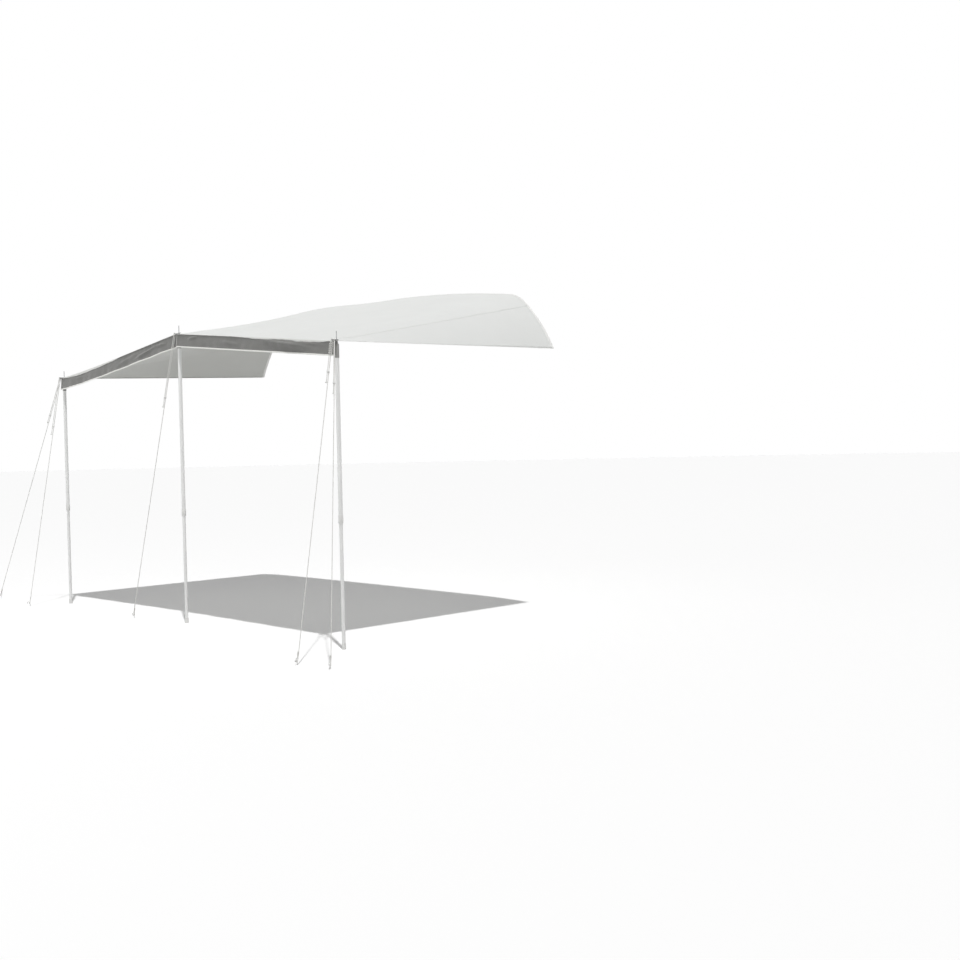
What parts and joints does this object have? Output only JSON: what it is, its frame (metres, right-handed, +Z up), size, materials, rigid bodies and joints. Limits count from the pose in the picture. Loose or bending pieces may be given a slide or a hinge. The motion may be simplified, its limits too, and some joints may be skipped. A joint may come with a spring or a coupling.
{
  "type": "caravan sun canopy",
  "caption": "Flat fabric sun roof with a valance that slides into an awning rail and stands on telescopic spiked poles braced by pegged guy lines.",
  "frame": {"origin": "middle of the awning rail, on the centre line of the keder bead that the rail holds", "axes": "+X along the rail to the right seen from in front, +Y towards the caravan, +Z up"},
  "size_m": [5.4332, 2.6659, 2.7689],
  "materials": {
    "roof_cloth": "coated cloth, matt",
    "valance_cloth": "woven cloth, matt",
    "piping_cloth": "woven binding, matt",
    "webbing": "coarse woven cloth",
    "keder_plastic": "smooth cord",
    "black_plastic": "moulded, fine grain",
    "grey_plastic": "moulded, satin",
    "white_plastic": "moulded, satin",
    "foot_rubber": "matt",
    "tube_paint": "satin silver-grey",
    "bright_steel": "zinc plated",
    "rope": "braided cord"
  },
  "bodies": {
    "canopy": {"corner_patch_centre": "webbing", "corner_patch_left": "webbing", "corner_patch_right": "webbing", "eyelet_centre": "bright_steel", "eyelet_left": "bright_steel", "eyelet_right": "bright_steel", "guy_plate_centre": "black_plastic", "guy_plate_left": "black_plastic", "guy_plate_right": "black_plastic", "guy_rope_centre": "rope", "guy_rope_left_front": "rope", "guy_rope_left_side": "rope", "guy_rope_right_front": "rope", "guy_rope_right_side": "rope", "guy_spare_right": "rope", "keder_bead": "keder_plastic", "keder_flange": "webbing", "peg_centre": "bright_steel", "peg_left_front": "bright_steel", "peg_left_side": "bright_steel", "peg_right_front": "bright_steel", "peg_right_side": "bright_steel", "roof_panel": "roof_cloth", "side_hem_left": "piping_cloth", "side_hem_right": "piping_cloth", "side_panel_left": "roof_cloth", "side_panel_right": "roof_cloth", "valance_left": "valance_cloth", "valance_piping_left": "piping_cloth", "valance_piping_right": "piping_cloth", "valance_right": "valance_cloth"},
    "pole_left": {"pole_head_left": "grey_plastic", "spike_left": "bright_steel", "upper_tube_left": "tube_paint", "clamp_collar_left": "white_plastic"},
    "lower_pole_left": {"lower_tube_left": "tube_paint", "foot_cap_left": "foot_rubber"},
    "screw_left": {"thumb_screw_left": "black_plastic"},
    "pole_centre": {"pole_head_centre": "grey_plastic", "spike_centre": "bright_steel", "upper_tube_centre": "tube_paint", "clamp_collar_centre": "white_plastic"},
    "lower_pole_centre": {"lower_tube_centre": "tube_paint", "foot_cap_centre": "foot_rubber"},
    "screw_centre": {"thumb_screw_centre": "black_plastic"},
    "pole_right": {"pole_head_right": "grey_plastic", "spike_right": "bright_steel", "upper_tube_right": "tube_paint", "clamp_collar_right": "white_plastic"},
    "lower_pole_right": {"lower_tube_right": "tube_paint", "foot_cap_right": "foot_rubber"},
    "screw_right": {"thumb_screw_right": "black_plastic"},
    "runner_left_side": {"guy_runner_left_side": "white_plastic"},
    "runner_left_front": {"guy_runner_left_front": "white_plastic"},
    "runner_centre": {"guy_runner_centre": "white_plastic"},
    "runner_right_front": {"guy_runner_right_front": "white_plastic"},
    "runner_right_side": {"guy_runner_right_side": "white_plastic"}
  },
  "joints": [
    {"name": "pole_left_swing", "type": "hinge", "parent": "canopy", "child": "pole_left", "pos_m": [-1.95, -2.1, -0.64324], "axis": [1, 0, 0], "range_deg": [-5, 8]},
    {"name": "lower_pole_left_slide", "type": "slide", "parent": "pole_left", "child": "lower_pole_left", "axis": [0, 0, 1], "range_m": [-0.3, 0.6]},
    {"name": "screw_left_turn", "type": "hinge", "parent": "pole_left", "child": "screw_left", "pos_m": [-1.95, -2.1, -1.7833], "axis": [-0.8572, 0.515, 0], "range_deg": [0, 360]},
    {"name": "pole_centre_swing", "type": "hinge", "parent": "canopy", "child": "pole_centre", "pos_m": [0, -2.1, -0.41375], "axis": [1, 0, 0], "range_deg": [-5, 8]},
    {"name": "lower_pole_centre_slide", "type": "slide", "parent": "pole_centre", "child": "lower_pole_centre", "axis": [0, 0, 1], "range_m": [-0.3, 0.6]},
    {"name": "screw_centre_turn", "type": "hinge", "parent": "pole_centre", "child": "screw_centre", "pos_m": [0, -2.1, -1.7833], "axis": [-0.8572, 0.515, 0], "range_deg": [0, 360]},
    {"name": "pole_right_swing", "type": "hinge", "parent": "canopy", "child": "pole_right", "pos_m": [1.95, -2.1, -0.61935], "axis": [1, 0, 0], "range_deg": [-5, 8]},
    {"name": "lower_pole_right_slide", "type": "slide", "parent": "pole_right", "child": "lower_pole_right", "axis": [0, 0, 1], "range_m": [-0.3, 0.6]},
    {"name": "screw_right_turn", "type": "hinge", "parent": "pole_right", "child": "screw_right", "pos_m": [1.95, -2.1, -1.7833], "axis": [-0.8572, 0.515, 0], "range_deg": [0, 360]},
    {"name": "runner_left_side_slide", "type": "slide", "parent": "canopy", "child": "runner_left_side", "axis": [0.439, 0.0893, 0.894], "range_m": [-0.05, 0.33]},
    {"name": "runner_left_front_slide", "type": "slide", "parent": "canopy", "child": "runner_left_front", "axis": [0.0602, 0.1425, 0.988], "range_m": [-0.05, 0.4]},
    {"name": "runner_centre_slide", "type": "slide", "parent": "canopy", "child": "runner_centre", "axis": [0.2631, 0.041, 0.9639], "range_m": [-0.05, 0.47]},
    {"name": "runner_right_front_slide", "type": "slide", "parent": "canopy", "child": "runner_right_front", "axis": [-0.114, 0.2437, 0.9631], "range_m": [-0.05, 0.1]},
    {"name": "runner_right_side_slide", "type": "slide", "parent": "canopy", "child": "runner_right_side", "axis": [-0.2298, 0.2195, 0.9482], "range_m": [-0.05, 0.27]}
  ]
}
